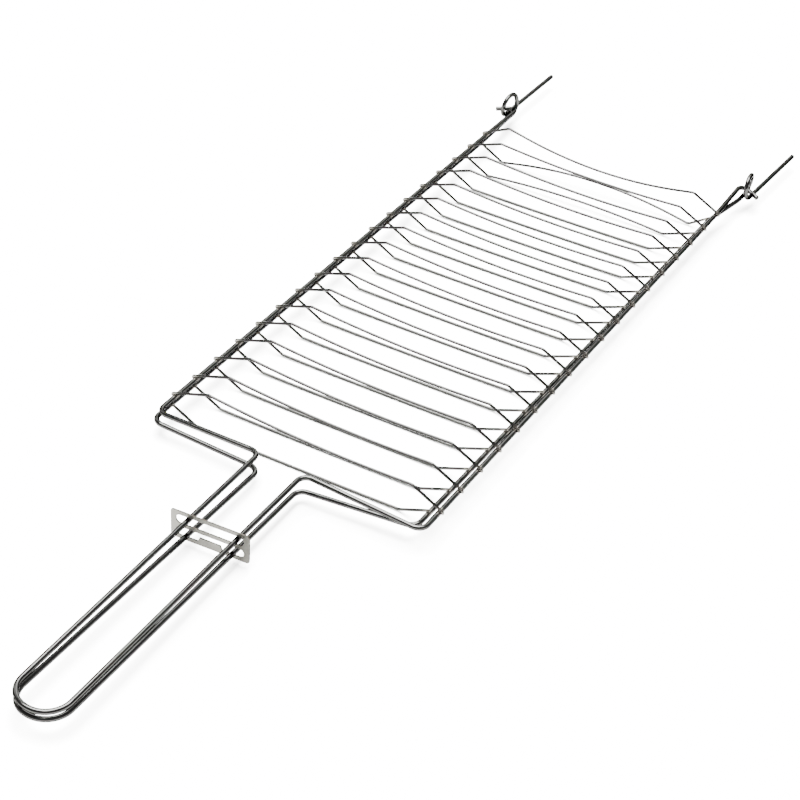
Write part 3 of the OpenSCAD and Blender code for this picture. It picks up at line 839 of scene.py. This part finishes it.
def rounded_outline(width, height, radius, middle, tab=None):
    """A rectangle with round corners as a closed outline, with a tab on its lower edge if one is given."""
    outline = []
    for quarter, (sx, sy) in enumerate(((1, -1), (1, 1), (-1, 1), (-1, -1))):
        centre = Vector((sx * (width / 2 - radius), middle + sy * (height / 2 - radius)))
        for k in range(CORNER_STEPS + 1):
            turn = math.radians(90 * (quarter - 1 + k / CORNER_STEPS))
            outline.append(centre + radius * Vector((math.cos(turn), math.sin(turn))))
    if tab:
        half, lean, high = tab
        low = middle - height / 2
        outline += [Vector((-half, low)), Vector((lean - half, low + high)),
                    Vector((half - lean, low + high)), Vector((half, low))]
    return outline


class GRATE_OT_frames(bpy.types.Operator):
    """Bend the two frames, with their handles, pins, eyes and rest rods"""
    bl_idname = "grate.frames"
    bl_label = "Bent Frames"

    def execute(self, context):
        scene = context.scene
        wire = scene.grate_wire
        layout = Layout(scene)
        finish = bright_plated_wire(scene.grate_finish, "bright_plated_frame_wire",
                                    scene.grate_finish.plating, 0)
        for level, side in (("upper", layout.upper_side), ("lower", layout.lower_side)):
            corners = side(1) + list(reversed(side(-1)))
            piece = sweep(f"{level}_frame_wire", [corners], scene, wire.frame_d, wire.frame_sides,
                          wire.end_round, level, finish)
            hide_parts(f"{level}_frame")
            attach(piece, f"{level}_leaf")
        return {"FINISHED"}


class GRATE_OT_cross_wires(bpy.types.Operator):
    """Lay the thin cross wires over both frames"""
    bl_idname = "grate.cross_wires"
    bl_label = "Cross Wires"

    def execute(self, context):
        scene = context.scene
        wire = scene.grate_wire
        layout = Layout(scene)
        finish = bright_plated_wire(scene.grate_finish, "bright_plated_cross_wire",
                                    scene.grate_finish.thin_plating, scene.grate_finish.thin_rough)
        numbers = range(1, scene.grate_leaf.wire_count + 1)
        for level, route in (("upper", layout.upper_wire), ("lower", layout.lower_wire)):
            piece = sweep(f"{level}_cross_wires", [route(n) for n in numbers], scene, wire.cross_d,
                          wire.cross_sides, wire.cross_round, level, finish)
            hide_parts(*[f"{level}_wire_{n:02d}" for n in numbers])
            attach(piece, f"{level}_leaf")
        return {"FINISHED"}


class GRATE_OT_welds(bpy.types.Operator):
    """Put a bead of weld metal wherever a cross wire meets its bar"""
    bl_idname = "grate.welds"
    bl_label = "Welds"

    def execute(self, context):
        scene = context.scene
        wire = scene.grate_wire
        tree = bead_tree()
        finish = dull_weld_metal(scene.grate_finish)
        for seed, level in enumerate(("upper", "lower")):
            piece = weld_points(f"{level}_welds", scene, level)
            run_tree(piece, tree, {
                "Across": wire.weld_across, "Along": wire.weld_along, "Height": wire.weld_height,
                "Unevenness": wire.weld_lumps, "Lump scale": 1 / wire.lump_size, "Waver": wire.waver,
                "Waver span": wire.waver_span, "Seed": seed, "Finish": finish})
            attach(piece, f"{level}_leaf")
        return {"FINISHED"}


class GRATE_OT_clamp_plate(bpy.types.Operator):
    """Stamp the clamp plate with its two slots and its tab"""
    bl_idname = "grate.clamp_plate"
    bl_label = "Clamp Plate"

    def execute(self, context):
        scene = context.scene
        layout = Layout(scene)
        plate, handle = layout.plate, layout.handle
        place = (plate.plate_place - handle.root_slant) / (handle.handle_len - handle.root_slant)
        split = handle.root_split + (handle.end_split - handle.root_split) * place
        edge = (split + layout.wire.frame_d) / 2 + plate.slot_gap
        high = edge - plate.strip / 2
        slot = (plate.plate_w - 2 * plate.slot_end, high, high / 2 - SLOT_SLACK)
        outlines = [
            rounded_outline(plate.plate_w, 2 * (edge + plate.strip), plate.plate_r, 0),
            rounded_outline(*slot, edge - high / 2),
            rounded_outline(*slot, high / 2 - edge, (plate.tab_w / 2, plate.tab_lean, plate.tab_h)),
        ]
        curve = bpy.data.curves.new("clamp_outline", "CURVE")
        curve.dimensions = "2D"
        curve.fill_mode = "BOTH"
        curve.bevel_depth = plate.edge_round
        curve.bevel_resolution = 2
        curve.offset = -plate.edge_round
        curve.extrude = plate.plate_t / 2 - plate.edge_round
        for outline in outlines:
            spline = curve.splines.new("POLY")
            spline.points.add(len(outline) - 1)
            for point, at in zip(spline.points, outline):
                point.co = (*at, 0, 1)
            spline.use_cyclic_u = True
        drawn = link(bpy.data.objects.new("clamp_outline", curve))
        bpy.context.view_layer.update()
        mesh = bpy.data.meshes.new_from_object(drawn.evaluated_get(context.evaluated_depsgraph_get()))
        bpy.data.objects.remove(drawn)
        mesh.materials.clear()
        mesh.materials.append(satin_stamped_sheet(scene.grate_finish, plate.plate_turn))
        mesh.materials.append(sheared_sheet_edge(scene.grate_finish))
        for face in mesh.polygons:
            face.material_index = 0 if abs(face.normal.z) > FACING else 1
        spot = Vector((handle.handle_shift - plate.plate_shift, layout.front_y - plate.plate_place,
                       layout.split_z)) + layout.to_floor
        mesh.transform(Matrix.Translation(spot) @ Matrix.Rotation(plate.plate_turn, 4, "Z")
                       @ Matrix.Rotation(math.pi / 2, 4, "X"))
        piece = link(bpy.data.objects.new("clamp_sheet", mesh))
        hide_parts("clamp_plate")
        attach(piece, "clamp")
        return {"FINISHED"}


class GRATE_OT_stage(bpy.types.Operator):
    """Lay a pale floor, hang the soft lights and set up the camera"""
    bl_idname = "grate.stage"
    bl_label = "Stage"

    def execute(self, context):
        stage = context.scene.grate_stage
        half = stage.floor_size / 2
        mesh = bpy.data.meshes.new("floor")
        mesh.from_pydata([(-half, -half, 0), (half, -half, 0), (half, half, 0), (-half, half, 0)], [],
                         [(0, 1, 2, 3)])
        mesh.materials.append(pale_floor(stage))
        link(bpy.data.objects.new("floor", mesh))
        world = bpy.data.worlds.new("dim_room")
        world.use_nodes = True
        background = world.node_tree.nodes["Background"]
        background.inputs["Color"].default_value = (1, 1, 1, 1)
        background.inputs["Strength"].default_value = stage.room_light
        context.scene.world = world
        self.soft_light("roof_light", stage.roof_light, stage.roof_size, stage.roof_place)
        self.soft_light("side_light", stage.side_light, stage.side_size, stage.side_place)
        self.soft_light("back_light", stage.back_light, stage.back_size, stage.back_place)
        self.camera(context.scene, stage)
        return {"FINISHED"}

    def soft_light(self, name, power, size, place):
        """A soft rectangular light that faces the middle of the grate."""
        light = bpy.data.lights.new(name, "AREA")
        light.shape = "RECTANGLE"
        light.size, light.size_y = size
        light.energy = power
        lamp = link(bpy.data.objects.new(name, light))
        lamp.location = place
        lamp.rotation_euler = (-lamp.location).to_track_quat("-Z", "Y").to_euler()

    def camera(self, scene, stage):
        lens = bpy.data.cameras.new("camera")
        lens.lens = stage.lens
        lens.sensor_width = SENSOR_WIDTH
        lens.clip_start, lens.clip_end = VIEW_RANGE
        view = link(bpy.data.objects.new("camera", lens))
        view.matrix_world = (
            Matrix.Translation((stage.camera_x, stage.camera_y, stage.camera_z))
            @ Matrix.Rotation(stage.view_turn, 4, "Z")
            @ Matrix.Rotation(math.pi / 2 - stage.view_height, 4, "X")
            @ Matrix.Rotation(stage.view_tilt, 4, "Z"))
        scene.camera = view


class GRATE_PT_panel(bpy.types.Panel):
    bl_idname = "GRATE_PT_panel"
    bl_label = "Fish Grate"
    bl_space_type = "VIEW_3D"
    bl_region_type = "UI"
    bl_category = "Fish Grate"

    def draw(self, context):
        for operator in OPERATORS:
            self.layout.operator(operator.bl_idname)
        for name, group in GROUPS.items():
            box = self.layout.box()
            box.label(text=group.__name__)
            for key in group.__annotations__:
                box.prop(getattr(context.scene, name), key)


OPERATORS = (GRATE_OT_frames, GRATE_OT_cross_wires, GRATE_OT_welds, GRATE_OT_clamp_plate, GRATE_OT_stage)


def register():
    for group in (*GROUPS.values(), *OPERATORS, GRATE_PT_panel):
        bpy.utils.register_class(group)
    for name, group in GROUPS.items():
        setattr(bpy.types.Scene, name, PointerProperty(type=group))


def unregister():
    for name in GROUPS:
        delattr(bpy.types.Scene, name)
    for group in (GRATE_PT_panel, *reversed(OPERATORS), *reversed(GROUPS.values())):
        bpy.utils.unregister_class(group)


def main():
    register()
    bpy.ops.grate.frames()
    bpy.ops.grate.cross_wires()
    bpy.ops.grate.welds()
    bpy.ops.grate.clamp_plate()
    bpy.ops.grate.stage()


if __name__ == "__main__":
    main()
